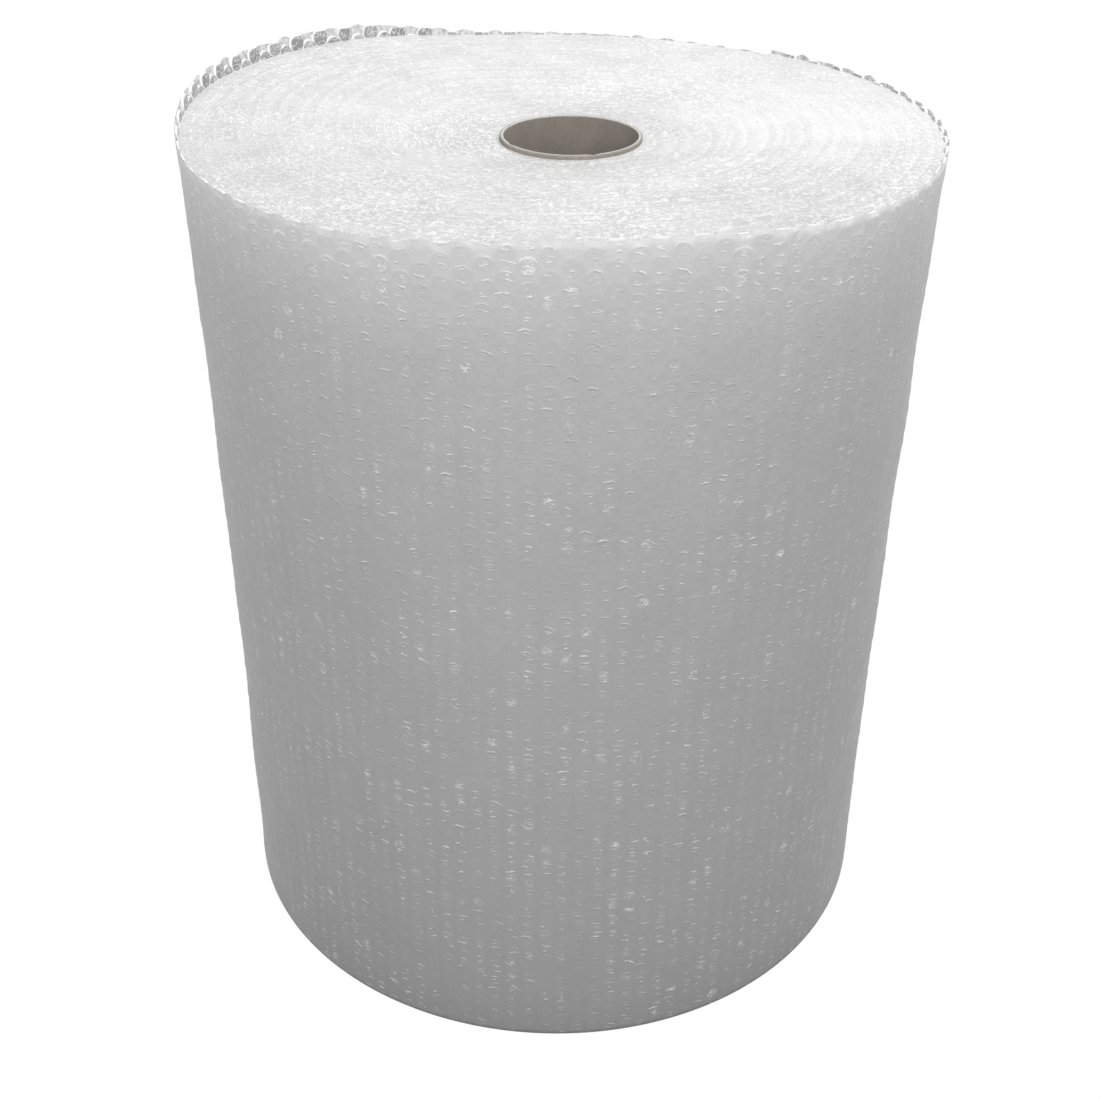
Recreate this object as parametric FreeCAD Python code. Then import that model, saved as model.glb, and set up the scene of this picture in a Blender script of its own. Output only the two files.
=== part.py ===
"""A roll of small-bubble wrap on a cardboard core, standing on its end.

The web is one long strip of bubble film wound round the core, its flat film outside
and its round air bubbles towards the core. All its turns are one solid, which follows
a spiral from the core to the free end of the web at the back. The last turn stands a
little off the others and higher than them, and its bubbles show as upright columns.
The core is a plain cardboard tube. The frame's origin is on the core's axis, level
with the end that the roll stands on, and +Z runs up the axis. -Y is the front.
"""

import FreeCAD
import Part

import math
import os

# The cardboard core
CORE_BORE = 76.0
CORE_WALL = 2.0
CORE_LENGTH = 493.0

# The web and how it is wound
WEB_WIDTH = 500.0
ROLL_DIAMETER = 418.5
TURN_PITCH = 4.0
TURN_CLEARANCE = 0.05
CORE_CLEARANCE = 0.3
WINDING_OFFSET = 6.0
TAIL_ANGLE = 50.0
CHORD_ERROR = 0.8

# The last turn, which stands off the others and higher than them
SLACK = 3.0
SLACK_RUN = 60.0
RIM_RISE = 1.5
BACK_RISE = 14.5
BACK_RISE_ANGLE = 152.0
BACK_RISE_SPREAD = 38.0
FRONT_RISE = 6.0
FRONT_RISE_ANGLE = -82.0
FRONT_RISE_SPREAD = 24.0

# The bubbles, in upright columns
BUBBLE_PITCH = 11.3
BUBBLE_DEPTH = 1.9
BUBBLE_FOOT = 0.86
BUBBLE_CROWN = 0.5
BACK_BULGE = 0.3

# The upper ends of the tight turns, lower round the core and uneven from turn to turn.
# Towards the outside they rise by a share of the last turn's two rises.
DISH_DEPTH = 10.0
DISH_REACH = 110.0
RISE_SHARE = 0.5
EDGE_WAVER = 0.8
WAVER_STEP = 2.4

FULL_TURN = 2 * math.pi


def ease(share):
    """0 up to share 0, 1 from share 1 on, and an easy slope between them."""
    share = min(max(share, 0.0), 1.0)
    return share * share * (3 - 2 * share)


def plateau(angle, centre, spread):
    """1 round the centre angle, falling away on both sides; angles in degrees."""
    away = (angle - centre + 180.0) % 360.0 - 180.0
    return math.exp(-((away / spread) ** 4))


def flat_face(*corners):
    return Part.Face(Part.makePolygon([*corners, corners[0]]))


class Web:
    """The wound strip. A place on it is the angle turned since its start at the core."""

    def __init__(self):
        core_radius = CORE_BORE / 2 + CORE_WALL
        self.start_radius = core_radius + CORE_CLEARANCE + CHORD_ERROR
        tail_radius = (ROLL_DIAMETER + TURN_PITCH) / 2
        build_up = tail_radius - SLACK - self.start_radius
        drift = WINDING_OFFSET * TURN_PITCH / build_up
        self.thickness = TURN_PITCH - TURN_CLEARANCE - CHORD_ERROR - drift
        self.length = FULL_TURN * (build_up - self.thickness) / TURN_PITCH
        self.last_turn = self.length - FULL_TURN

    def heading(self, angle):
        """The direction from the axis, in radians from +X."""
        return math.radians(TAIL_ANGLE) + angle - self.length

    def looseness(self, angle):
        """0 on the tight turns, rising to 1 as the last turn leaves them."""
        return ease((angle - self.last_turn) / math.radians(SLACK_RUN))

    def inner_radius(self, angle):
        """How far the crowns of the bubbles lie from the centre of their turn."""
        wound = self.start_radius + TURN_PITCH * angle / FULL_TURN
        return wound + SLACK * self.looseness(angle)

    def top(self, angle):
        """The height of the web's upper edge."""
        reach = ease((self.inner_radius(angle) - self.start_radius) / DISH_REACH)
        heading = math.degrees(self.heading(angle))
        rise = BACK_RISE * plateau(heading, BACK_RISE_ANGLE, BACK_RISE_SPREAD)
        rise += FRONT_RISE * plateau(heading, FRONT_RISE_ANGLE, FRONT_RISE_SPREAD)
        tight = EDGE_WAVER * math.sin(WAVER_STEP * angle / FULL_TURN)
        tight += RISE_SHARE * reach * rise
        loose = RIM_RISE + rise
        share = self.looseness(angle)
        uneven = share * loose + (1 - share) * tight
        return WEB_WIDTH - DISH_DEPTH * (1 - reach) + uneven

    def stations(self):
        """Angles along the web, each with 1 at a bubble's crown and 0 beside it."""
        places = []
        angle = 0.0
        while angle < self.last_turn:
            places.append((angle, 1.0))
            radius = self.inner_radius(angle) + self.thickness
            angle += 2 * math.acos(1 - CHORD_ERROR / radius)
        column_width = BUBBLE_PITCH * math.sqrt(3) / 2
        columns = round(math.pi * ROLL_DIAMETER / column_width)
        column = FULL_TURN / columns
        for index in range(columns):
            middle = self.last_turn + (index + 0.5) * column
            places.append((middle - BUBBLE_FOOT * column / 2, 0.0))
            places.append((middle - BUBBLE_CROWN * column / 2, 1.0))
            places.append((middle + BUBBLE_CROWN * column / 2, 1.0))
        places.append((self.length, 0.0))
        return places

    def section(self, angle, crown):
        """The web's four corners at a place: inner and outer foot, outer and inner top."""
        loose = angle > self.last_turn
        inner = self.inner_radius(angle)
        outer = inner + self.thickness
        if loose:
            inner += (1 - crown) * BUBBLE_DEPTH
            outer += crown * BACK_BULGE
        heading = self.heading(angle)
        centre = -WINDING_OFFSET * angle / self.length
        corners = []
        for radius, height in ((inner, 0), (outer, 0), (outer, 1), (inner, 1)):
            x = centre + radius * math.cos(heading)
            y = radius * math.sin(heading)
            corners.append(FreeCAD.Vector(x, y, height * self.top(angle)))
        return corners

    def solid(self):
        sections = [self.section(*place) for place in self.stations()]
        faces = [flat_face(*sections[0]), flat_face(*sections[-1])]
        for here, there in zip(sections, sections[1:]):
            faces.append(flat_face(here[0], there[0], there[3], here[3]))
            faces.append(flat_face(here[1], there[1], there[2], here[2]))
            faces.append(flat_face(here[3], here[2], there[2]))
            faces.append(flat_face(here[3], there[2], there[3]))
        inner_foot = [section[0] for section in sections]
        outer_foot = [section[1] for section in sections]
        faces.append(flat_face(*inner_foot, *reversed(outer_foot)))
        shell = Part.Shell(faces)
        shell.sewShape()
        solid = Part.Solid(shell)
        if solid.Volume < 0:
            solid.reverse()
        return solid


def cardboard_core():
    """A plain tube, sawn square at both ends."""
    outside = Part.makeCylinder(CORE_BORE / 2 + CORE_WALL, CORE_LENGTH)
    return outside.cut(Part.makeCylinder(CORE_BORE / 2, CORE_LENGTH))


def main():
    os.makedirs("parts", exist_ok=True)
    cardboard_core().exportStep("parts/cardboard_core.step")
    Web().solid().exportStep("parts/bubble_wrap_roll.step")


main()
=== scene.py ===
"""A roll of small-bubble wrap on a cardboard core, standing on its end.

The film's last turn, the bubbles of its rim, the cut edges of the turns, the turns
themselves and the core are each a class that builds one piece and dresses it. All
lengths are in metres. The roll's spiral is worked out once, in Winding.
"""

import logging
import math
from dataclasses import dataclass, field
from enum import Enum

import bpy
import numpy as np
from mathutils import Matrix, Vector


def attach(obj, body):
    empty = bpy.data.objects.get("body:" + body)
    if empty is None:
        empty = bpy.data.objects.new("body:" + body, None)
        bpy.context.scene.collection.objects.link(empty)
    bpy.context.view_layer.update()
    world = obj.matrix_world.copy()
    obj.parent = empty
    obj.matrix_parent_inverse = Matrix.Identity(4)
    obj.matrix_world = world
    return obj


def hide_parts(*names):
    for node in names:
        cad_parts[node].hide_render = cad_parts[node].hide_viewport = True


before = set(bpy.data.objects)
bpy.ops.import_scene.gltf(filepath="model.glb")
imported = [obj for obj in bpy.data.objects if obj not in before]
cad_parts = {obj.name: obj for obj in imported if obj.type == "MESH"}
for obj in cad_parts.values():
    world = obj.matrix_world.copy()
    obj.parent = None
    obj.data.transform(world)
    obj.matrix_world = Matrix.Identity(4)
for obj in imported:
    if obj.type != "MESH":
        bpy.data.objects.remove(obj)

LOG = logging.getLogger("bubble_wrap_roll")
BODY = "root"
FULL_TURN = 2 * math.pi
FILM_UV = "film"
RIM_UV = "rim"


def ease(share: np.ndarray) -> np.ndarray:
    """An easy slope from 0 at share 0 to 1 at share 1, level outside them.

    Args:
        share: How far along the slope.

    Returns:
        The eased share.
    """
    held = np.clip(share, 0.0, 1.0)
    return held * held * (3 - 2 * held)


def plateau(angle: np.ndarray, centre: float, spread: float) -> np.ndarray:
    """A flat-topped hill round one direction.

    Args:
        angle: Directions in degrees.
        centre: The middle of the hill, in degrees.
        spread: Half its width, in degrees.

    Returns:
        1 on the hill, falling to 0 on both sides.
    """
    away = (angle - centre + 180.0) % 360.0 - 180.0
    return np.exp(-((away / spread) ** 4))


def deselect() -> None:
    """Leaves nothing selected, so that an operator acts on new work alone."""
    bpy.ops.object.select_all(action="DESELECT")


def mesh_piece(name: str, points: np.ndarray, faces: list) -> bpy.types.Object:
    """Makes a piece from points and faces.

    Args:
        name: The piece's name.
        points: One row of x, y and z for each vertex.
        faces: The vertex numbers of each face, seen from outside.

    Returns:
        The piece, smooth-shaded, at the origin.
    """
    mesh = bpy.data.meshes.new(name)
    mesh.from_pydata(np.asarray(points, float).tolist(), [], faces)
    mesh.shade_smooth()
    piece = bpy.data.objects.new(name, mesh)
    bpy.context.scene.collection.objects.link(piece)
    return piece


def set_uv(piece: bpy.types.Object, name: str, coordinates: np.ndarray) -> None:
    """Gives every corner of a mesh the coordinates of its vertex.

    Args:
        piece: The piece to map.
        name: The map's name.
        coordinates: One pair for each vertex.
    """
    mesh = piece.data
    layer = mesh.uv_layers.new(name=name)
    corners = np.empty(len(mesh.loops), np.int32)
    mesh.loops.foreach_get("vertex_index", corners)
    layer.uv.foreach_set("vector", coordinates[corners].astype(np.float32).ravel())


def lowest_first(corners: list) -> list:
    """Turns a face's corners so that its lowest vertex number comes first.

    Bisect gives its faces in an order of its own, and this helps to fix that order.

    Args:
        corners: The vertex numbers of the face.

    Returns:
        The same corners, in the same turn.
    """
    start = corners.index(min(corners))
    return corners[start:] + corners[:start]


def quads_between(lower: np.ndarray, upper: np.ndarray) -> np.ndarray:
    """Joins two rows of vertex numbers with quads.

    Args:
        lower: The numbers along one row.
        upper: The numbers along the next row.

    Returns:
        One row of four numbers for each quad.
    """
    return np.stack([lower[:-1], lower[1:], upper[1:], upper[:-1]], axis=1)


@dataclass
class Winding:
    """The spiral that the film follows. A place on it is the angle wound so far."""

    first_radius: float = 0.0411
    tail_radius: float = 0.21125
    pitch: float = 0.004
    web: float = 0.003
    slack: float = 0.003
    slack_run: float = math.radians(60)
    tail_heading: float = math.radians(50)
    drift: float = 0.006
    width: float = 0.5
    dish_depth: float = 0.010
    dish_reach: float = 0.110
    waver: float = 0.0004
    rim_rise: float = 0.0015
    back_rise: float = 0.0145
    front_rise: float = 0.006
    rise_share: float = 0.5
    length: float = field(init=False)
    last_turn: float = field(init=False)

    def __post_init__(self) -> None:
        """Works out how far the film is wound."""
        build_up = self.tail_radius - self.slack - self.web - self.first_radius
        self.length = FULL_TURN * build_up / self.pitch
        self.last_turn = self.length - FULL_TURN

    def heading(self, wound: np.ndarray) -> np.ndarray:
        """The direction from the axis, in radians from +X."""
        return self.tail_heading + wound - self.length

    def looseness(self, wound: np.ndarray) -> np.ndarray:
        """0 on the tight turns, rising to 1 as the last turn leaves them."""
        return ease((wound - self.last_turn) / self.slack_run)

    def inner_radius(self, wound: np.ndarray) -> np.ndarray:
        """How far the crowns of the bubbles lie from their turn's centre."""
        tight = self.first_radius + self.pitch * wound / FULL_TURN
        return tight + self.slack * self.looseness(wound)

    def outer_radius(self, wound: np.ndarray) -> np.ndarray:
        """How far the flat film lies from its turn's centre."""
        return self.inner_radius(wound) + self.web

    def run(self, wound: np.ndarray) -> np.ndarray:
        """The tight film's length from the core, in metres."""
        growth = self.pitch * wound ** 2 / (2 * FULL_TURN)
        return (self.first_radius + self.web) * wound + growth

    def top(self, wound: np.ndarray) -> np.ndarray:
        """The height of the film's upper edge.

        Args:
            wound: Angles wound.

        Returns:
            Heights over the floor.
        """
        share = self.looseness(wound)
        loose = self.width + self.rim_rise + self.rise(wound)
        return share * loose + (1 - share) * self.tight_top(wound)

    def rise(self, wound: np.ndarray) -> np.ndarray:
        """How far the last turn stands up at the back and at the front.

        Args:
            wound: Angles wound.

        Returns:
            Heights over the plain rim.
        """
        degrees = np.degrees(self.heading(wound))
        back = self.back_rise * plateau(degrees, 152, 38)
        return back + self.front_rise * plateau(degrees, -82, 24)

    def tight_top(self, wound: np.ndarray) -> np.ndarray:
        """The height of a tight turn's upper edge, lower towards the core.

        Args:
            wound: Angles wound.

        Returns:
            Heights over the floor.
        """
        reach = ease((self.inner_radius(wound) - self.first_radius) / self.dish_reach)
        uneven = self.waver * np.sin(2.4 * wound / FULL_TURN)
        uneven = uneven + self.rise_share * reach * self.rise(wound)
        return self.width - self.dish_depth * (1 - reach) + uneven

    def surface(self, wound: np.ndarray, share: np.ndarray) -> np.ndarray:
        """The height of the tight turns between one turn and the next.

        Args:
            wound: Angles wound.
            share: 0 at the turn's inner side, 1 at the next turn's.

        Returns:
            Heights over the floor.
        """
        following = self.tight_top(wound + FULL_TURN)
        return (1 - share) * self.tight_top(wound) + share * following

    def place(
        self, wound: np.ndarray, radius: np.ndarray, height: np.ndarray
    ) -> np.ndarray:
        """Puts points of the film into the frame.

        Args:
            wound: Angles wound.
            radius: Distances from the turn's own centre.
            height: Heights over the floor.

        Returns:
            One row of x, y and z for each point.
        """
        heading = self.heading(wound)
        x = radius * np.cos(heading) - self.drift * wound / self.length
        y = radius * np.sin(heading)
        return np.stack(np.broadcast_arrays(x, y, height), axis=-1)


@dataclass
class Lattice:
    """The bubbles' pattern on the last turn, in upright columns."""

    winding: Winding
    pitch: float = 0.0113
    bubble_radius: float = 0.0049
    first_row: float = 0.0090
    columns: int = field(init=False)

    def __post_init__(self) -> None:
        """Counts the columns that fit round the roll."""
        across = self.pitch * math.sqrt(3) / 2
        middle = self.winding.outer_radius(self.winding.length - math.pi)
        self.columns = round(FULL_TURN * float(middle) / across)

    def wound(self, column: np.ndarray) -> np.ndarray:
        """The angle wound at a column's middle, or at a share of a column."""
        return self.winding.last_turn + FULL_TURN * column / self.columns

    def width(self) -> float:
        """The distance from one column to the next."""
        return FULL_TURN * self.winding.tail_radius / self.columns

    def distance(self, column: np.ndarray, height: np.ndarray) -> tuple:
        """Finds the nearest bubble to points on the film.

        Args:
            column: The points' places along the film, in columns.
            height: Their heights.

        Returns:
            The distance to the bubble's middle, and its column and row.
        """
        nearest = np.full(np.broadcast(column, height).shape, np.inf)
        at_column = np.zeros(nearest.shape)
        at_row = np.zeros(nearest.shape)
        for step in (-1, 0, 1):
            k = np.floor(column) + step
            shift = 0.5 * (k % 2)
            row = np.round((height - self.first_row) / self.pitch - shift)
            across = (column - k - 0.5) * self.width()
            up = height - self.first_row - (row + shift) * self.pitch
            away = np.hypot(across, up)
            closer = away < nearest
            nearest = np.where(closer, away, nearest)
            at_column = np.where(closer, k, at_column)
            at_row = np.where(closer, row, at_row)
        return nearest, at_column, at_row


@dataclass(frozen=True)
class Field:
    """A number that varies over a surface: one output of a node tree."""

    tree: bpy.types.NodeTree
    socket: bpy.types.NodeSocket

    def math(self, operation: str, *others: object) -> "Field":
        """Runs this field through a Math node.

        Args:
            operation: The node's operation.
            others: Its second and third inputs, fields or numbers.

        Returns:
            The node's output.
        """
        node = self.tree.nodes.new("ShaderNodeMath")
        node.operation = operation
        for target, value in zip(node.inputs, (self, *others)):
            if isinstance(value, Field):
                self.tree.links.new(value.socket, target)
            else:
                target.default_value = value
        return Field(self.tree, node.outputs[0])

    def __add__(self, other: object) -> "Field":
        """The sum with a field or number."""
        return self.math("ADD", other)

    def __sub__(self, other: object) -> "Field":
        """The difference from a field or number."""
        return self.math("SUBTRACT", other)

    def __mul__(self, other: object) -> "Field":
        """The product with a field or number."""
        return self.math("MULTIPLY", other)

    def __truediv__(self, other: object) -> "Field":
        """The share of a field or number."""
        return self.math("DIVIDE", other)

    def slope(
        self, start: float, end: float, low: float = 0, high: float = 1
    ) -> "Field":
        """Maps the span from start to end onto an eased span from low to high.

        Args:
            start: The value that gives low.
            end: The value that gives high.
            low: The result at start and before it.
            high: The result at end and after it.

        Returns:
            The mapped field.
        """
        node = self.tree.nodes.new("ShaderNodeMapRange")
        node.interpolation_type = "SMOOTHSTEP"
        self.tree.links.new(self.socket, node.inputs["Value"])
        for name, value in zip(("From Min", "From Max", "To Min", "To Max"),
                               (start, end, low, high)):
            node.inputs[name].default_value = value
        return Field(self.tree, node.outputs["Result"])


class Material:
    """A node material that is put together from fields."""

    def __init__(self, name: str) -> None:
        """Starts a material with a Principled shader.

        Args:
            name: The material's name.
        """
        self.material = bpy.data.materials.new(name)
        self.material.use_nodes = True
        self.tree = self.material.node_tree
        self.shader = self.tree.nodes["Principled BSDF"]
        self.output = self.tree.nodes["Material Output"]

    def set(self, **values: object) -> None:
        """Writes constants on the shader's own sockets, named with underscores."""
        for name, value in values.items():
            self.shader.inputs[name.replace("_", " ")].default_value = value

    def node(self, kind: str, **inputs: object) -> bpy.types.Node:
        """Adds a node.

        Args:
            kind: The node's type.
            inputs: Fields, sockets or constants for its inputs.

        Returns:
            The node.
        """
        node = self.tree.nodes.new(kind)
        for name, value in inputs.items():
            self.feed(node.inputs[name.replace("_", " ")], value)
        return node

    def feed(self, target: bpy.types.NodeSocket, value: object) -> None:
        """Links or sets one input.

        Args:
            target: The input.
            value: A field, a socket or a constant.
        """
        if isinstance(value, Field):
            self.tree.links.new(value.socket, target)
        elif isinstance(value, bpy.types.NodeSocket):
            self.tree.links.new(value, target)
        else:
            target.default_value = value

    def coordinate(self, axis: str) -> Field:
        """Reads one axis of the object's own coordinates.

        Args:
            axis: X, Y or Z.

        Returns:
            The coordinate, in metres.
        """
        place = self.node("ShaderNodeTexCoord").outputs["Object"]
        split = self.node("ShaderNodeSeparateXYZ", Vector=place)
        return Field(self.tree, split.outputs[axis])

    def mapped(self, name: str) -> tuple:
        """Reads one of the piece's maps.

        Args:
            name: The map's name.

        Returns:
            Its two coordinates, as fields.
        """
        node = self.node("ShaderNodeUVMap")
        node.uv_map = name
        split = self.node("ShaderNodeSeparateXYZ", Vector=node.outputs["UV"])
        return tuple(Field(self.tree, split.outputs[axis]) for axis in "XY")

    def vector(self, x: object, y: object, z: object = 0.0) -> bpy.types.NodeSocket:
        """Joins three fields or numbers."""
        return self.node("ShaderNodeCombineXYZ", X=x, Y=y, Z=z).outputs["Vector"]

    def noise(self, place: object, scale: float, detail: float = 2.0) -> Field:
        """Draws cloudy noise.

        Args:
            place: The coordinates to draw it at.
            scale: How many clouds there are in a metre.
            detail: How fine it gets.

        Returns:
            A field of about 0.5 on average.
        """
        node = self.node("ShaderNodeTexNoise", Scale=scale, Detail=detail)
        self.feed(node.inputs["Vector"], place)
        return Field(self.tree, node.outputs["Fac"])

    def random(self, place: object) -> Field:
        """Draws a random number for each place.

        Args:
            place: The coordinates that each number belongs to.

        Returns:
            A field from 0 to 1.
        """
        node = self.node("ShaderNodeTexWhiteNoise")
        node.noise_dimensions = "3D"
        self.feed(node.inputs["Vector"], place)
        return Field(self.tree, node.outputs["Value"])

    def object_place(self) -> bpy.types.NodeSocket:
        """The object's own coordinates."""
        return self.node("ShaderNodeTexCoord").outputs["Object"]

    def colours(self, share: Field, stops: list) -> bpy.types.NodeSocket:
        """Turns a field into colour.

        Args:
            share: A field from 0 to 1.
            stops: Pairs of share and colour.

        Returns:
            The colour socket.
        """
        node = self.node("ShaderNodeValToRGB", Fac=share)
        ramp = node.color_ramp
        while len(ramp.elements) < len(stops):
            ramp.elements.new(1.0)
        for element, (at, colour) in zip(ramp.elements, stops):
            element.position = at
            element.color = (*colour, 1.0)
        return node.outputs["Color"]

    def mix(self, share: object, first: object, second: object) -> bpy.types.NodeSocket:
        """Blends two colours.

        Args:
            share: 0 for the first colour, 1 for the second.
            first: A colour or its socket.
            second: A colour or its socket.

        Returns:
            The colour socket.
        """
        node = self.tree.nodes.new("ShaderNodeMix")
        node.data_type = "RGBA"
        self.feed(node.inputs["Factor"], share)
        self.feed(node.inputs[6], first)
        self.feed(node.inputs[7], second)
        return node.outputs[2]

    def bump(self, height: Field, distance: float, strength: float = 1.0) -> None:
        """Gives the shader a relief.

        Args:
            height: The relief's height.
            distance: How deep a height of 1 is, in metres.
            strength: How much of it shows.
        """
        node = self.node("ShaderNodeBump", Height=height, Distance=distance,
                         Strength=strength)
        self.tree.links.new(node.outputs["Normal"], self.shader.inputs["Normal"])

    def paint(self, tone: Field) -> None:
        """Colours the shader in a neutral tone."""
        self.feed(self.shader.inputs["Base Color"], self.vector(tone, tone, tone))

    def level(self, share: Field, stops: tuple) -> Field:
        """Turns a field into another by a curve through stops of share and level."""
        shades = [(at, grey(value)) for at, value in stops]
        return Field(self.tree, self.colours(share, shades))

    def show(self, shader: bpy.types.NodeSocket) -> None:
        """Puts a shader on the surface."""
        self.tree.links.new(shader, self.output.inputs["Surface"])


def grey(level: float) -> tuple:
    """A neutral colour."""
    return (level, level, level)


@dataclass(frozen=True)
class EndLightAndShade:
    """How much whiter or duller the roll's upper end is from place to place.

    It is painted light and shade: a painted highlight makes it white at the right, and
    painted shade makes it duller at the front and round the core. Each span gives a
    start, an end and the shade at both, in the order that slope takes.
    """

    highlight_spot_x: float = 0.12
    highlight_spot: tuple = (0.02, 0.11, 0.09, 0.0)
    front: tuple = (-0.17, 0.04, -0.06, 0.03)
    round_core: tuple = (0.045, 0.110, -0.09, 0.0)
    right: tuple = (0.03, 0.12, 0.0, 0.06)
    right_front: tuple = (-0.11, -0.02, 1, 0)

    def field(self, material: Material) -> Field:
        """Adds the shade to a material.

        Args:
            material: The material to add to.

        Returns:
            A field to add to a tone.
        """
        x, y = material.coordinate("X"), material.coordinate("Y")
        from_core = (x * x + y * y).math("SQRT")
        aside = x - self.highlight_spot_x
        from_highlight_spot = (aside * aside + y * y).math("SQRT")
        # Painted shade: duller at the front, round the core and at the front right.
        shade = y.slope(*self.front) + from_core.slope(*self.round_core)
        shade = shade - x.slope(*self.right) * y.slope(*self.right_front)
        # Painted highlight: whiter round a spot at the right.
        return shade + from_highlight_spot.slope(*self.highlight_spot)


@dataclass(frozen=True)
class Stroke:
    """A painted highlight stroke on the bubbles, with its lengths in bubble radii.

    The higher its rarity, the fainter it is on most of them.
    """

    middle: float
    scatter: float
    length: float
    thickness: float
    bend: float
    rarity: float


@dataclass(frozen=True)
class FilmFinish:
    """Many layers of clear film seen through the flat film of the last turn, with
    painted light: lighter towards the top, a painted glow under the rim, and painted
    highlights and shade on the bubbles.
    """

    lattice: Lattice
    # Painted light: the tone by height, darker towards the foot and lighter towards the
    # top.
    painted_light_by_height: tuple = (
        (0.00, 0.305), (0.06, 0.35), (0.20, 0.39), (0.45, 0.43), (0.70, 0.475),
        (0.86, 0.53), (1.00, 0.585),
    )
    # Painted glow: whiter just under the rim, fading with depth.
    painted_glow_depth: float = 0.06
    painted_glow: tuple = ((0.0, 0.23), (0.15, 0.15), (0.40, 0.07), (0.70, 0.03), (1.0, 0.0))
    inner: float = 0.60
    inner_mottle: float = 1.0
    # How rare the painted glints and highlight arcs are, and how strong the painted
    # shadow lines are.
    glint_rarity: float = 8.0
    arc_rarity: float = 1.8
    painted_shadow_share: float = 0.34
    crest_depth: float = 0.020
    near_depth: float = 0.055
    cut_width: float = 0.30
    cloud_share: float = 0.10
    streak_share: float = 0.07
    mottle_share: float = 0.08
    groove_shade_share: float = 0.02
    # Each stroke is a painted highlight.
    strokes: tuple = (
        Stroke(0.78, 0.30, 0.58, 0.060, 0.38, 2.2),
        Stroke(-0.70, 0.34, 0.42, 0.055, -0.25, 2.2),
        Stroke(0.30, 0.80, 0.36, 0.045, 0.10, 2.0),
        Stroke(0.00, 1.20, 0.30, 0.045, 0.00, 2.0),
        Stroke(-0.30, 0.90, 0.24, 0.050, 0.00, 3.0),
        Stroke(0.05, 1.60, 0.10, 0.090, 0.00, 6.0),
    )

    def lit(self, material: Material, column: Field, height: Field) -> tuple:
        """Paints highlights: strokes where the bubbles' rounded edges catch the light.

        Args:
            material: The material to add to.
            column: The place along the film, in columns.
            height: The height, in metres.

        Returns:
            Four fields: the painted highlight strokes, the painted shadow lines under
                them,
            the arc-shaped painted highlights along the bubbles' upper edges, and their
            painted soft shading, strongest in the upper part.
        """
        radius = self.lattice.bubble_radius
        highlight_strokes = painted_shadows = shade = glints = highlight_arcs = None
        for parity in (0, 1):
            half = column * 0.5 - 0.5 * parity
            k = half.math("FLOOR")
            across = (half - k - 0.25) * (2 * self.lattice.width() / radius)
            shift = 0.5 * parity
            raised = height - self.lattice.first_row
            row = (raised / self.lattice.pitch - shift).math("ROUND")
            up = (raised - (row + shift) * self.lattice.pitch) / radius
            square = across * across
            for number, stroke in enumerate(self.strokes):
                draw = material.random(material.vector(k, row, parity + 2.0 * number))
                mark, dark = self.mark(stroke, draw, across, square, up)
                highlight_strokes = mark if highlight_strokes is None else highlight_strokes.math("MAXIMUM", mark)
                painted_shadows = dark if painted_shadows is None else painted_shadows.math("MAXIMUM", dark)
            cell = material.random(material.vector(k, row, parity + 20.0))
            away = square + up * up
            disc = away.slope(0.70, 1.15, 1, 0)
            soft = disc * (up * 0.4 + 0.6)
            shade = soft if shade is None else shade + soft
            glint = away.slope(0.0, 0.7, 1, 0) * cell.math("POWER", self.glint_rarity)
            glints = glint if glints is None else glints + glint
            rim = (away.math("SQRT") - 0.96).math("ABSOLUTE").slope(0.0, 0.20, 1, 0)
            bright = cell.math("POWER", self.arc_rarity) * 0.95 + 0.08
            arc = rim * up.slope(0.35, 0.85) * bright
            highlight_arcs = arc if highlight_arcs is None else highlight_arcs.math("MAXIMUM", arc)
        lines = self.lines(material, column, height) * glints
        return highlight_strokes.math("MAXIMUM", lines), painted_shadows, highlight_arcs, shade

    def mark(
        self, stroke: Stroke, draw: Field, across: Field, square: Field, up: Field
    ) -> tuple:
        """Draws one painted highlight stroke on every bubble, each a little different.

        Args:
            stroke: The stroke.
            draw: A random number for each bubble.
            across: The way along the film from the bubble's middle, in radii.
            square: Its square.
            up: The way up from the bubble's middle, in radii.

        Returns:
            Two fields: the highlight stroke and the painted shadow line under it.
        """
        shift_up = (draw * 17.31).math("FRACT") - 0.5
        tilt = (draw * 91.70).math("FRACT") - 0.5
        level = up + square * stroke.bend + across * tilt * 0.5
        level = level - shift_up * stroke.scatter - stroke.middle
        thick = stroke.thickness * 2
        aside = (across + shift_up * tilt * 2.4).math("ABSOLUTE") / (tilt + 1.0)
        short = aside.slope(stroke.length * 0.5, stroke.length, 1, 0)
        short = short * draw.math("POWER", stroke.rarity)
        bright = level.math("ABSOLUTE").slope(0.0, thick, 1, 0) * short
        dark = (level + thick).math("ABSOLUTE").slope(0.0, thick, 1, 0) * short
        return bright, dark

    def lines(self, material: Material, column: Field, height: Field) -> Field:
        """Draws thin, mostly level lines as painted glints of the film's wrinkles and
        edges.

        Args:
            material: The material to add to.
            column: The place along the film, in columns.
            height: The height, in metres.

        Returns:
            A field that is 1 on the lines.
        """
        place = material.vector(column * self.lattice.width() * 0.32, height)
        middle = (material.noise(place, 520.0, 1.0) - 0.5).math("ABSOLUTE")
        return middle.slope(0.0, 0.05, 1, 0)

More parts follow.
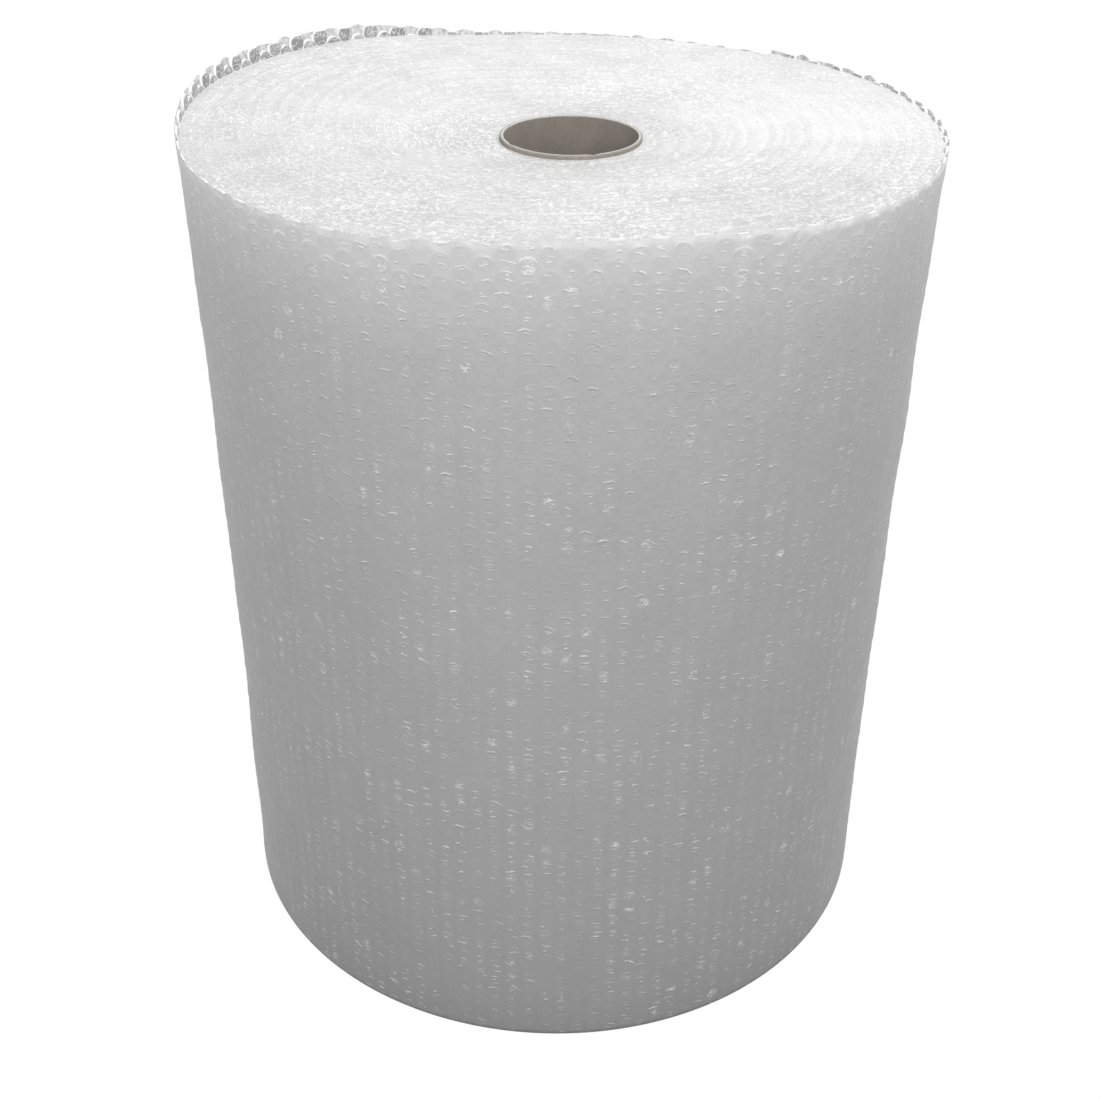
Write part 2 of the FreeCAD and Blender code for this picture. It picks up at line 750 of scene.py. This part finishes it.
    def make(self) -> bpy.types.Material:
        """Builds the material.

        Returns:
            The finished material.
        """
        material = Material("bubble_film")
        column, height = material.mapped(FILM_UV)
        depth, inside = material.mapped(RIM_UV)
        place = material.vector(column * self.lattice.width(), height)
        ripple = material.noise(place, 300.0) - 0.5
        warp_column = column + ripple * 0.25
        warp_height = height + (material.noise(place, 270.0) - 0.5) * 0.0022
        highlight_strokes, painted_shadows, highlight_arcs, shade = self.lit(material, warp_column, warp_height)
        near_top = depth.slope(0.0, self.near_depth, 1, 0)
        patch = material.noise(place, 26.0, 4.0).slope(0.36, 0.60)
        fine = material.noise(place, 600.0, 1.0)
        broken = fine.slope(0.30, 0.52, 0.4, 1)
        crest = depth.slope(self.crest_depth * 0.4, self.crest_depth, 1, 0)
        # Painted highlights: strokes and glinting lines, most near the top, and arcs
        # along the bubbles' upper edges.
        lit = highlight_strokes * broken * (patch * 0.75 + 0.4) * (near_top * 1.7 + 1.0)
        lit = lit + highlight_arcs * (crest * 1.1 + near_top * 0.2) * (patch * 0.75 + 0.25)
        cloud = material.noise(place, 22.0, 3.0) - 0.5
        streak = material.noise(material.vector(column * 0.9, height * 2.5), 1.0) - 0.5
        # Painted shade in the grooves between the bubble columns.
        groove_shade = (column.math("FRACT") - 0.5).math("ABSOLUTE").slope(0.30, 0.5)
        end = self.lattice.columns
        cut = column.slope(end - self.cut_width, end - self.cut_width / 3)
        # A painted highlight along the film's cut end.
        lit = lit + cut * (broken * 0.5)
        deeper = depth + cloud * 0.008 + shade * near_top * 0.005
        # Painted light by height, with the painted glow under the rim added.
        tone = material.level(height / self.lattice.winding.width, self.painted_light_by_height)
        tone = tone + material.level(deeper / self.painted_glow_depth, self.painted_glow)
        mottle = material.noise(place, 120.0, 2.0) - 0.5
        soft = cloud * self.cloud_share + streak * self.streak_share
        soft = soft + mottle * self.mottle_share - groove_shade * self.groove_shade_share
        # Painted shade on the bubbles, strongest in their upper parts.
        soft = soft - shade * height.slope(0.22, 0.44, 0.030, 0.048)
        # Painted shadow lines under the highlight strokes.
        tone = tone * (soft - painted_shadows * self.painted_shadow_share + 1.03)
        # The painted highlights whiten the tone.
        tone = tone + (tone * -1.0 + 1.0) * lit.math("MINIMUM", 1.0)
        tone = tone + (tone * -1.0 + self.inner + ripple * self.inner_mottle) * inside
        material.paint(tone)
        material.set(Roughness=0.42, IOR=1.45, Specular_IOR_Level=0.3)
        material.bump(ripple + fine * 0.2, 0.0005, 0.7)
        return material.material


@dataclass(frozen=True)
class BubbleFinish:
    """The thin domes of the free rim: grey crowns painted as the shade seen through
    them, with white outlines and swirls painted as highlights.
    """

    # The crowns' grey is painted see-through shade; the outlines' white is painted
    # highlight.
    crown: float = 0.37
    outline_highlight: float = 1.0
    darkest: float = 0.26
    ring_start: float = 0.86
    ring_end: float = 0.95
    swirl_width: float = 0.045
    swirl_highlight: float = 0.6

    def make(self) -> bpy.types.Material:
        """Builds the material.

        Returns:
            The finished material.
        """
        material = Material("bubble_dome")
        from_crown, draw = material.mapped(FILM_UV)
        cloud = material.noise(material.object_place(), 320.0, 3.0) - 0.5
        # Painted highlights: swirl lines, and white outlines where the walls turn
        # edge-on.
        swirl = material.noise(material.object_place(), 230.0, 1.5) - 0.5
        swirl = swirl.math("ABSOLUTE").slope(0.0, self.swirl_width, self.swirl_highlight, 0)
        ring = (from_crown + cloud * 0.20).slope(self.ring_start, self.ring_end)
        ring = ring.math("MAXIMUM", swirl)
        # The crowns' painted see-through shade, under the painted white highlights.
        tone = (draw * 0.4 + 0.8) * self.crown + cloud * 0.25
        tone = tone.math("MAXIMUM", self.darkest) * (ring * -1.0 + 1.0)
        tone = tone + ring * self.outline_highlight
        material.paint(tone)
        material.set(Roughness=0.22, IOR=1.45, Coat_Weight=0.3, Coat_Roughness=0.10)
        material.bump(cloud, 0.0004, 0.4)
        return material.material


@dataclass(frozen=True)
class EdgeFinish:
    """The cut edges of the film, painted white as highlights where the light goes in.
    """

    faint: float = 0.80
    # How much of the end's painted light and shade shows on the edges.
    end_light_share: float = 0.6

    def make(self) -> bpy.types.Material:
        """Builds the material.

        Returns:
            The finished material.
        """
        material = Material("film_edges")
        place = material.object_place()
        fine = material.noise(place, 300.0, 2.0)
        draw = fine * 0.6 + material.noise(place, 40.0) * 0.4
        # Painted highlights: the edges turn white in random places.
        tone = draw.slope(0.42, 0.56, self.faint, 1.0)
        # The end's painted light and shade.
        tone = tone + EndLightAndShade().field(material) * self.end_light_share
        tone = tone.math("MINIMUM", 1.0)
        material.paint(tone)
        material.set(Roughness=0.35, IOR=1.45)
        return material.material


@dataclass(frozen=True)
class TurnFinish:
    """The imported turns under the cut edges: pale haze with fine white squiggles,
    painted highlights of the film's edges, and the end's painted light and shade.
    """

    haze: float = 0.725
    line: float = 0.06
    sparse: float = 0.60
    film_place: float = 0.78
    film_width: float = 0.12

    def squiggles(self, material: Material, scale: float) -> Field:
        """Draws broken lines where a noise passes its middle value, as painted
        highlights.

        Args:
            material: The material to add to.
            scale: How many clouds of that noise there are in a metre.

        Returns:
            A field that is 1 on the lines.
        """
        place = material.object_place()
        middle = (material.noise(place, scale, 1.5) - 0.5).math("ABSOLUTE")
        broken = material.noise(place, scale * 1.5, 1.0).slope(0.46, 0.58)
        return middle.slope(0.0, self.line, 1, 0) * broken

    def films(self, material: Material) -> Field:
        """Draws the cut edges of the flat film and of its bubbles along the spiral, as
        painted highlights.

        Args:
            material: The material to add to.

        Returns:
            A field that is 1 on the edges.
        """
        along, across = material.mapped(FILM_UV)
        sway = material.noise(material.object_place(), 60.0, 1.0) * 0.4 - 0.2
        from_film = across + sway - self.film_place
        flat = from_film.math("ABSOLUTE").slope(0.0, self.film_width, 1, 0)
        draw = material.random(material.vector(along.math("FLOOR"), 0.0))
        wave = (along * math.pi).math("SINE").math("ABSOLUTE")
        arc = (from_film + wave * (draw * 0.35 + 0.30)).math("ABSOLUTE")
        return flat.math("MAXIMUM", arc.slope(0.0, self.film_width, 1, 0))

    def make(self) -> bpy.types.Material:
        """Builds the material.

        Returns:
            The finished material.
        """
        material = Material("packed_film")
        cloud = material.noise(material.object_place(), 34.0, 4.0) - 0.5
        fine = material.noise(material.object_place(), 420.0, 2.0) - 0.5
        broken = material.noise(material.object_place(), 330.0, 1.0).slope(0.42, 0.60)
        # The haze with random clouds, plus the end's painted light and shade.
        body = cloud * 0.30 + fine * 0.15 + EndLightAndShade().field(material) + self.haze
        lines = self.squiggles(material, 200.0).math(
            "MAXIMUM", self.squiggles(material, 290.0))
        lines = lines.math("MAXIMUM", self.films(material) * broken)
        patch = material.noise(material.object_place(), 15.0, 2.0)
        lines = lines * patch.slope(0.40, 0.58, self.sparse, 1)
        # The squiggles and edges, painted white as highlights.
        tone = (body + (body * -1.0 + 1.0) * lines).math("MINIMUM", 1.0)
        material.paint(tone)
        material.set(Roughness=0.45, IOR=1.45)
        return material.material


@dataclass(frozen=True)
class BoardFinish:
    """Grey-brown cardboard with dark flecks and a paler rim."""

    colour: tuple = (0.300, 0.272, 0.236)
    pale: tuple = (0.74, 0.72, 0.69)
    length: float = 0.493
    dark: float = 0.66
    light: float = 1.35
    rim: float = 0.0010
    bore: float = 0.038
    pale_start: float = 0.0008
    pale_end: float = 0.0014

    def make(self) -> bpy.types.Material:
        """Builds the material.

        Returns:
            The finished material.
        """
        material = Material("core_board")
        x, y, z = (material.coordinate(axis) for axis in "XYZ")
        place = material.object_place()
        fibre = material.noise(material.vector(x * 2.0, y * 2.0, z * 0.5), 700.0, 3.0)
        cloud = material.noise(place, 40.0, 4.0)
        speck = material.noise(place, 900.0, 1.0).slope(0.70, 0.76)
        tone = fibre * 0.4 + cloud * 0.6 - speck * 0.35
        body = material.colours(tone, [
            (0.2, tuple(c * self.dark for c in self.colour)),
            (0.5, self.colour),
            (0.8, tuple(c * self.light for c in self.colour)),
        ])
        # Paler along the top rim, most at the inner edge of the wall.
        pale_band = (z + (fibre - 0.5) * 0.0008).slope(self.length - self.rim, self.length)
        from_axis = (x * x + y * y).math("SQRT")
        start, end = self.bore + self.pale_start, self.bore + self.pale_end
        pale_band = pale_band * from_axis.slope(start, end, 1.0, 0.25)
        material.feed(material.shader.inputs["Base Color"],
                      material.mix(pale_band, body, (*self.pale, 1)))
        material.set(Roughness=0.85)
        material.bump(fibre, 0.0004, 0.6)
        return material.material


@dataclass
class OuterFilm:
    """The flat film of the last turn, from the foot to its uneven upper edge."""

    winding: Winding
    lattice: Lattice
    samples: int = 3
    rows: int = 132
    inner_rows: int = 48
    thickness: float = 0.0004
    waist: float = 0.0020
    waist_height: float = 0.46
    level_end: float = 0.03
    flare: float = 0.0012
    flare_height: float = 0.040
    crease: float = 0.0004
    crease_top: float = 0.49
    bulge_least: float = 0.00015
    bulge_spread: float = 0.00033
    scallop: float = 0.0012

    def relief(self, column: np.ndarray, height: np.ndarray) -> np.ndarray:
        """How far the film stands out over its bubbles and creases.

        Args:
            column: Places along the film, in columns.
            height: Heights over the floor.

        Returns:
            Distances outwards.
        """
        away, k, row = self.lattice.distance(column, height)
        draw = np.sin(k * 127.1 + row * 311.7) * 43758.5453
        draw = draw - np.floor(draw)
        reach = np.clip(1 - (away / self.lattice.bubble_radius) ** 2, 0, 1)
        return (self.bulge_least + self.bulge_spread * draw) * reach

    def shape(self, wound: np.ndarray, height: np.ndarray) -> np.ndarray:
        """The last turn's waist, its creases and its flare at the upper edge.

        Args:
            wound: Angles wound.
            height: Heights over the floor.

        Returns:
            Distances outwards.
        """
        loose = self.winding.looseness(wound)
        rim = self.winding.width
        share = np.clip(height / self.waist_height, 0, 1)
        middle = self.waist * np.sin(np.pi * share)
        rise = np.clip((height - rim + self.flare_height) / self.flare_height, 0, 1)
        column = (wound - self.winding.last_turn) * self.lattice.columns / FULL_TURN
        slow = np.sin(column * 0.31 + 3.0 * np.sin(height * 17.0))
        slow = slow + 0.6 * np.sin(column * 0.83 - height * 61.0)
        ends = ease(height / self.level_end)
        ends = ends * ease((self.crease_top - height) / self.level_end)
        crease = self.crease * slow * ends
        return loose * (self.flare * rise ** 2 - middle + crease)

    def build(self) -> bpy.types.Object:
        """Makes the film as a thin closed sheet.

        Returns:
            The piece.
        """
        stations = self.samples * self.lattice.columns + 1
        column = np.arange(stations) / self.samples
        wound = self.lattice.wound(column)
        uneven = 0.6 + 0.4 * np.sin(0.73 * column + 2.0 * np.sin(0.19 * column))
        scallop = uneven * np.sin(np.pi * column) + 0.3 * np.sin(5.1 * column)
        top = self.winding.top(wound) - self.scallop * scallop
        radius = self.winding.outer_radius(wound)
        points, uv, rim, grids = [], [], [], []
        for rows, inside in ((self.rows, False), (self.inner_rows, True)):
            share = np.linspace(0, 1, rows + 1)[:, None]
            height = share * top[None, :]
            columns = np.broadcast_to(column[None, :], height.shape)
            out = self.shape(wound[None, :], height)
            if inside:
                out = out - self.thickness
            else:
                out = out + self.relief(columns, height) * np.sin(np.pi * share) ** 0.2
            placed = self.winding.place(wound[None, :], radius[None, :] + out, height)
            start = sum(len(p) for p in points)
            grids.append(np.arange(height.size).reshape(height.shape) + start)
            points.append(placed.reshape(-1, 3))
            uv.append(np.stack([columns.ravel(), height.ravel()], axis=1))
            below = (top[None, :] - height).ravel()
            rim.append(np.stack([below, np.full_like(below, inside)], axis=1))
        outside, inner = grids
        faces = []
        for lower, upper in zip(outside, outside[1:]):
            faces += quads_between(lower, upper).tolist()
        for lower, upper in zip(inner, inner[1:]):
            faces += quads_between(upper, lower).tolist()
        faces += quads_between(outside[-1], inner[-1]).tolist()
        faces += quads_between(inner[0], outside[0]).tolist()
        faces.append([*inner[:, 0].tolist(), *outside[::-1, 0].tolist()])
        faces.append([*outside[:, -1].tolist(), *inner[::-1, -1].tolist()])
        piece = mesh_piece("outer_film", np.concatenate(points), faces)
        set_uv(piece, FILM_UV, np.concatenate(uv))
        set_uv(piece, RIM_UV, np.concatenate(rim))
        return piece

    def dress(self, piece: bpy.types.Object) -> None:
        """Gives the film its finish.

        Args:
            piece: The piece to dress.
        """
        piece.data.materials.append(FilmFinish(self.lattice).make())
        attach(piece, BODY)


@dataclass
class RimBubbles:
    """The bubbles on the inner side of the free rim, which show from above."""

    winding: Winding
    lattice: Lattice
    film: OuterFilm
    lowest: float = 0.484
    edge_room: float = 0.0006
    crumple: float = 0.0016
    shift_up: float = 0.0029
    depth: float = 0.0022
    flatness: float = 0.30
    sizes: tuple = (1.16, 1.25)
    uneven_lift: float = 0.0008
    least_depth: float = 0.65
    dents: float = 0.08
    cut_share: float = 0.4
    segments: int = 18
    rings: int = 10
    seed: int = 11

    def dome(self) -> tuple:
        """Models one bubble: half a ball, flattened at its crown.

        Returns:
            Its points, with z into the roll, and its faces.
        """
        deselect()
        bpy.ops.mesh.primitive_uv_sphere_add(
            segments=self.segments, ring_count=self.rings,
            radius=self.lattice.bubble_radius)
        ball = bpy.context.object
        bpy.ops.object.mode_set(mode="EDIT")
        bpy.ops.mesh.select_all(action="SELECT")
        bpy.ops.mesh.bisect(plane_co=(0, 0, 0), plane_no=(0, 0, 1), clear_inner=True,
                            use_fill=True)
        bpy.ops.object.mode_set(mode="OBJECT")
        points = np.array([v.co for v in ball.data.vertices])
        faces = sorted(lowest_first(list(p.vertices)) for p in ball.data.polygons)
        share = np.clip(points[:, 2] / self.lattice.bubble_radius, 0, 1)
        points[:, 2] = self.depth * share ** self.flatness
        bpy.data.objects.remove(ball)
        return points, faces

    def build(self) -> bpy.types.Object:
        """Copies the bubble over the rim, each copy a little different.

        Returns:
            The piece.
        """
        draw = np.random.default_rng(self.seed)
        shape, shape_faces = self.dome()
        from_crown = np.hypot(shape[:, 0], shape[:, 1]) / self.lattice.bubble_radius
        points, faces, uv = [], [], []
        count = 0
        for k in range(self.lattice.columns):
            middle = k + 0.5
            wound = float(self.lattice.wound(middle))
            top = float(self.winding.top(wound))
            shift = 0.5 * (k % 2)
            steps_up = (self.lowest - self.lattice.first_row) / self.lattice.pitch
            row = math.ceil(steps_up - shift)
            highest = top - self.lattice.bubble_radius * self.cut_share
            raised = top - self.winding.width - self.winding.rim_rise + self.shift_up
            while True:
                height = self.lattice.first_row + (row + shift) * self.lattice.pitch
                height += raised
                if height > highest:
                    break
                size = draw.uniform(*self.sizes, 2)
                lift = draw.uniform(-self.uneven_lift, self.uneven_lift)
                room = self.edge_room - draw.uniform(0, self.crumple)
                columns = middle + shape[:, 0] * size[0] / self.lattice.width()
                heights = height + lift + shape[:, 1] * size[1]
                deep = shape[:, 2] * draw.uniform(self.least_depth, 1.0)
                dents = draw.uniform(-self.dents, self.dents, len(shape))
                deep = deep * (1 + dents)
                at = self.lattice.wound(columns)
                heights = np.minimum(heights, self.winding.top(at) + room)
                wall = self.winding.outer_radius(at) + self.film.shape(at, heights)
                points.append(self.winding.place(
                    at, wall - self.film.thickness - deep, heights))
                uv.append(np.stack([
                    from_crown, np.full(len(shape), draw.uniform())], axis=1))
                faces += [[v + count for v in reversed(f)] for f in shape_faces]
                count += len(shape)
                row += 1
        piece = mesh_piece("rim_bubbles", np.concatenate(points), faces)
        piece.data.set_sharp_from_angle(angle=math.radians(50))
        set_uv(piece, FILM_UV, np.concatenate(uv))
        return piece

    def dress(self, piece: bpy.types.Object) -> None:
        """Gives the bubbles their finish.

        Args:
            piece: The piece to dress.
        """
        piece.data.materials.append(BubbleFinish().make())
        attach(piece, BODY)


@dataclass
class PackedTurns:
    """The tight turns as one strip that follows the spiral.

    Under the free rim the strip reaches out to the last turn, as its bubbles do.
    """

    winding: Winding
    lattice: Lattice
    step: float = math.radians(6)
    raised: float = 0.0003
    core_radius: float = 0.0402
    rim_clearance: float = 0.0010
    waist_clearance: float = 0.0044
    shoulder: float = 0.035
    reach: float = 0.0014

    def build(self) -> bpy.types.Object:
        """Makes the strip.

        Returns:
            The piece.
        """
        start = self.winding.last_turn
        count = math.ceil(self.winding.length / self.step)
        wound = np.linspace(0, self.winding.length, count + 1)
        breaks = [FULL_TURN - 1e-4, FULL_TURN, start - 1e-4, start]
        wound = np.sort(np.concatenate([wound, breaks]))
        covered = wound >= start
        loose = self.winding.looseness(wound)
        tight = self.winding.inner_radius(wound) - loose * self.winding.slack
        inner = np.where(wound < FULL_TURN, self.core_radius, tight)
        under = self.winding.outer_radius(wound) - self.rim_clearance
        upper = np.where(covered, under, tight + self.winding.pitch)
        outer = upper - loose * (self.waist_clearance - self.rim_clearance)
        rim = upper + loose * self.reach
        beyond = wound + FULL_TURN * ~covered
        top = self.winding.tight_top(wound) + self.raised
        far_top = self.winding.surface(wound, ~covered) + self.raised
        foot = np.zeros_like(top)
        rows = [
            (wound, inner, foot), (beyond, outer, foot),
            (beyond, outer, top - 2 * self.shoulder),
            (beyond, upper, top - self.shoulder),
            (beyond, rim, far_top), (wound, inner, top),
        ]
        points = np.concatenate([self.winding.place(*row) for row in rows])
        lines = np.arange(len(points)).reshape(len(rows), -1)
        faces = []
        for line, following in zip(lines, np.roll(lines, -1, axis=0)):
            faces += quads_between(line, following).tolist()
        faces.append(lines[::-1, 0].tolist())
        faces.append(lines[:, -1].tolist())
        piece = mesh_piece("packed_turns", points, faces)
        piece.data.shade_flat()
        along = self.winding.run(wound) / self.lattice.width()
        across = np.repeat([0.0, 1.0, 1.0, 1.0, 1.0, 0.0], len(wound))
        set_uv(piece, FILM_UV, np.stack([np.tile(along, len(rows)), across], axis=1))
        return piece

    def dress(self, piece: bpy.types.Object) -> None:
        """Gives the strip its finish; it stands for the wound film.

        Args:
            piece: The piece to dress.
        """
        piece.data.materials.append(TurnFinish().make())
        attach(piece, BODY)
        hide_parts("bubble_wrap_roll")


@dataclass
class TurnEdges:
    """The cut edges of the tight turns: a flat film and a row of open bubbles."""

    winding: Winding
    lattice: Lattice
    samples: int = 5
    depth: float = 0.0020
    half_thickness: float = 0.0003
    unevenness: float = 0.00032
    seal: float = 0.0004
    shallowest: float = 0.0006
    open_least: float = 0.0018
    overshoot: float = 0.0006
    fullness: float = 0.7
    raggedness: float = 0.15
    seed: int = 23

    def ridge(self, wound: np.ndarray, radius: np.ndarray, top: np.ndarray) -> tuple:
        """Makes one film's edge as a narrow ribbon with a flat top.

        Args:
            wound: Angles wound.
            radius: The film's distance from its turn's centre.
            top: The height of its edge.

        Returns:
            Points and faces.
        """
        low = top - self.depth
        inner = radius - self.half_thickness
        outer = radius + self.half_thickness
        corners = [(inner, low), (outer, low), (outer, top), (inner, top)]
        rows = [self.winding.place(wound, r, height) for r, height in corners]
        lines = np.arange(4 * len(wound)).reshape(4, -1)
        faces = np.concatenate([
            quads_between(line, following)
            for line, following in zip(lines, np.roll(lines, -1, axis=0))
        ])
        return np.concatenate(rows), faces

    def build(self) -> bpy.types.Object:
        """Winds both films' edges from the core to the start of the last turn.

        Returns:
            The piece.
        """
        draw = np.random.default_rng(self.seed)
        fine = np.linspace(0, self.winding.last_turn, 20001)
        arc = np.concatenate([[0], np.cumsum(
            np.diff(fine) * self.winding.outer_radius(fine[1:]))])
        columns = int(arc[-1] / self.lattice.width())
        place = np.arange(columns * self.samples + 1) / self.samples
        wound = np.interp(place * self.lattice.width(), arc, fine)
        column = np.floor(place).astype(int)
        within = place - column
        web = self.winding.web
        open_depth = draw.uniform(self.shallowest, web, columns + 1)
        open_depth[::2] = draw.uniform(self.open_least, web, len(open_depth[::2]))
        lift = draw.normal(0, self.unevenness, columns + 1)
        wave = open_depth[column] * np.sin(np.pi * within) ** self.fullness
        wave = wave * (1 + draw.normal(0, self.raggedness, len(place)))
        wave = np.clip(wave, 0, web + self.overshoot)
        share = (web - self.seal - wave) / self.winding.pitch
        top = self.winding.surface(wound, share)
        top = top + lift[column] * np.sin(np.pi * within)
        top = top + draw.normal(0, self.unevenness, len(place))
        outer = self.winding.outer_radius(wound)
        bubbles = self.ridge(wound, outer - self.seal - wave, top)
        flat = slice(None, None, 3)
        share = web / self.winding.pitch
        flat_top = self.winding.surface(wound[flat], share)
        flat_top = flat_top + draw.normal(0, self.unevenness, len(wound[flat]))
        film = self.ridge(wound[flat], outer[flat], flat_top)
        points = np.concatenate([bubbles[0], film[0]])
        faces = np.concatenate([bubbles[1], film[1] + len(bubbles[0])])
        piece = mesh_piece("turn_edges", points, faces.tolist())
        piece.data.shade_flat()
        return piece

    def dress(self, piece: bpy.types.Object) -> None:
        """Gives the edges their finish.

        Args:
            piece: The piece to dress.
        """
        piece.data.materials.append(EdgeFinish().make())
        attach(piece, BODY)


@dataclass
class CoreTube:
    """The cardboard tube, with a rim that is a little rough from handling."""

    bore: float = 0.038
    wall: float = 0.002
    length: float = 0.493
    segments: int = 192
    edge_radius: float = 0.0004
    roughness: float = 0.0005
    nicks: int = 6
    nick_spread: float = 0.010
    seed: int = 3

    def build(self) -> bpy.types.Object:
        """Makes the tube from a cylinder's wall, thickened inwards.

        Returns:
            The piece.
        """
        deselect()
        bpy.ops.mesh.primitive_cylinder_add(
            vertices=self.segments, radius=self.bore + self.wall, depth=self.length,
            end_fill_type="NOTHING", location=(0, 0, self.length / 2))
        tube = bpy.context.object
        tube.name = "core_tube"
        bpy.ops.object.transform_apply(location=True, rotation=True, scale=True)
        bpy.ops.object.mode_set(mode="EDIT")
        bpy.ops.mesh.select_all(action="SELECT")
        bpy.ops.mesh.subdivide(number_cuts=1)
        bpy.ops.object.mode_set(mode="OBJECT")
        wall = tube.modifiers.new("wall", "SOLIDIFY")
        wall.thickness = self.wall
        wall.offset = -1
        bpy.ops.object.modifier_apply(modifier=wall.name)
        edge = tube.modifiers.new("edge", "BEVEL")
        edge.width = self.edge_radius
        edge.segments = 2
        edge.limit_method = "ANGLE"
        bpy.ops.object.modifier_apply(modifier=edge.name)
        draw = np.random.default_rng(self.seed)
        nicks = draw.uniform(0, 1, self.nicks)
        for vertex in tube.data.vertices:
            if vertex.co.z > self.length - 0.001:
                around = math.atan2(vertex.co.y, vertex.co.x) / FULL_TURN % 1
                nearest = float(np.min(np.abs(nicks - around)))
                share = nearest / self.nick_spread
                vertex.co.z -= self.roughness * math.exp(-(share ** 2))
        bpy.ops.object.shade_smooth_by_angle(angle=math.radians(40))
        return tube

    def dress(self, piece: bpy.types.Object) -> None:
        """Gives the tube its finish; it stands for the plain tube.

        Args:
            piece: The piece to dress.
        """
        piece.data.materials.append(BoardFinish(length=self.length).make())
        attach(piece, BODY)
        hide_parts("cardboard_core")


class Lamp(Enum):
    """The studio's soft lamps: place, aim, size and power."""

    ABOVE = ((0.45, 0.10, 1.55), (0.0, 0.0, 0.45), 1.3, 8.5)
    FRONT = ((-0.15, -1.95, 1.25), (0.0, 0.0, 0.35), 1.4, 17.8)


@dataclass
class Studio:
    """The pale floor, the soft light and the camera."""

    focal_length: float = 49.37
    pitch: float = 0.55238
    roll: float = 0.00813
    yaw: float = -0.00464
    place: tuple = (-0.006, -0.84195, 0.73817)
    sky: float = 0.44
    floor_grey: float = 0.45
    floor_white: float = 1.06
    floor_size: float = 40.0
    floor_drop: float = 0.0002
    floor_share: float = 0.93

    def camera(self) -> None:
        """Places the camera that matches the photograph's view."""
        forward = Vector((math.sin(self.yaw), math.cos(self.yaw), 0))
        level = Vector((math.cos(self.yaw), -math.sin(self.yaw), 0))
        ahead = forward * math.cos(self.pitch) - Vector((0, 0, math.sin(self.pitch)))
        above = forward * math.sin(self.pitch) + Vector((0, 0, math.cos(self.pitch)))
        turned = level * math.cos(self.roll) + above * math.sin(self.roll)
        upright = above * math.cos(self.roll) - level * math.sin(self.roll)
        data = bpy.data.cameras.new("camera")
        data.lens = self.focal_length
        camera = bpy.data.objects.new("camera", data)
        bpy.context.scene.collection.objects.link(camera)
        axes = Matrix((turned, upright, -ahead)).transposed().to_4x4()
        camera.matrix_world = Matrix.Translation(self.place) @ axes
        bpy.context.scene.camera = camera

    def lamps(self) -> None:
        """Hangs the soft lamps."""
        for lamp in Lamp:
            place, aim, size, power = lamp.value
            data = bpy.data.lights.new(lamp.name.lower(), "AREA")
            data.shape = "DISK"
            data.size = size
            data.energy = power
            light = bpy.data.objects.new(data.name, data)
            bpy.context.scene.collection.objects.link(light)
            light.location = place
            towards = Vector(aim) - Vector(place)
            light.rotation_euler = towards.to_track_quat("-Z", "Y").to_euler()

    def seen(self, tree: bpy.types.NodeTree) -> Field:
        """Tells the rays that see the background from those that light the object.

        Args:
            tree: The node tree to add to.

        Returns:
            1 for rays from the camera and from glossy or clear surfaces.
        """
        rays = tree.nodes.new("ShaderNodeLightPath")
        result = Field(tree, rays.outputs["Is Camera Ray"])
        for name in ("Is Glossy Ray", "Is Transmission Ray"):
            result = result.math("MAXIMUM", Field(tree, rays.outputs[name]))
        return result

    def world(self) -> None:
        """Lights the scene from all sides and shows white behind it."""
        world = bpy.data.worlds.new("studio")
        world.use_nodes = True
        tree = world.node_tree
        background = tree.nodes["Background"]
        background.inputs["Color"].default_value = (1, 1, 1, 1)
        strength = self.seen(tree) * (1 - self.sky) + self.sky
        tree.links.new(strength.socket, background.inputs["Strength"])
        bpy.context.scene.world = world

    def floor(self) -> None:
        """Lays the floor, white to the camera but with a little of its shadow."""
        deselect()
        bpy.ops.mesh.primitive_plane_add(
            size=self.floor_size, location=(0, 0, -self.floor_drop))
        plane = bpy.context.object
        plane.name = "floor"
        material = Material("floor_paint")
        material.set(Base_Color=(*grey(self.floor_grey), 1), Roughness=0.9)
        bright = material.node("ShaderNodeEmission", Strength=self.floor_white)
        share = self.seen(material.tree) * self.floor_share
        blend = material.node("ShaderNodeMixShader", Fac=share)
        material.tree.links.new(material.shader.outputs[0], blend.inputs[1])
        material.tree.links.new(bright.outputs[0], blend.inputs[2])
        material.show(blend.outputs[0])
        plane.data.materials.append(material.material)

    def build(self) -> None:
        """Sets the stage."""
        self.camera()
        self.lamps()
        self.world()
        self.floor()
        bpy.context.scene.view_settings.view_transform = "Standard"


def main() -> None:
    """Builds the roll and its studio, piece by piece."""
    logging.basicConfig(level=logging.INFO, format="%(name)s: %(message)s")
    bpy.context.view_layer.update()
    winding = Winding()
    lattice = Lattice(winding)
    film = OuterFilm(winding, lattice)
    parts = [
        film,
        RimBubbles(winding, lattice, film),
        PackedTurns(winding, lattice),
        TurnEdges(winding, lattice),
        CoreTube(),
    ]
    for part in parts:
        piece = part.build()
        part.dress(piece)
        LOG.info("%s has %d faces", piece.name, len(piece.data.polygons))
    Studio().build()


if __name__ == "__main__":
    main()
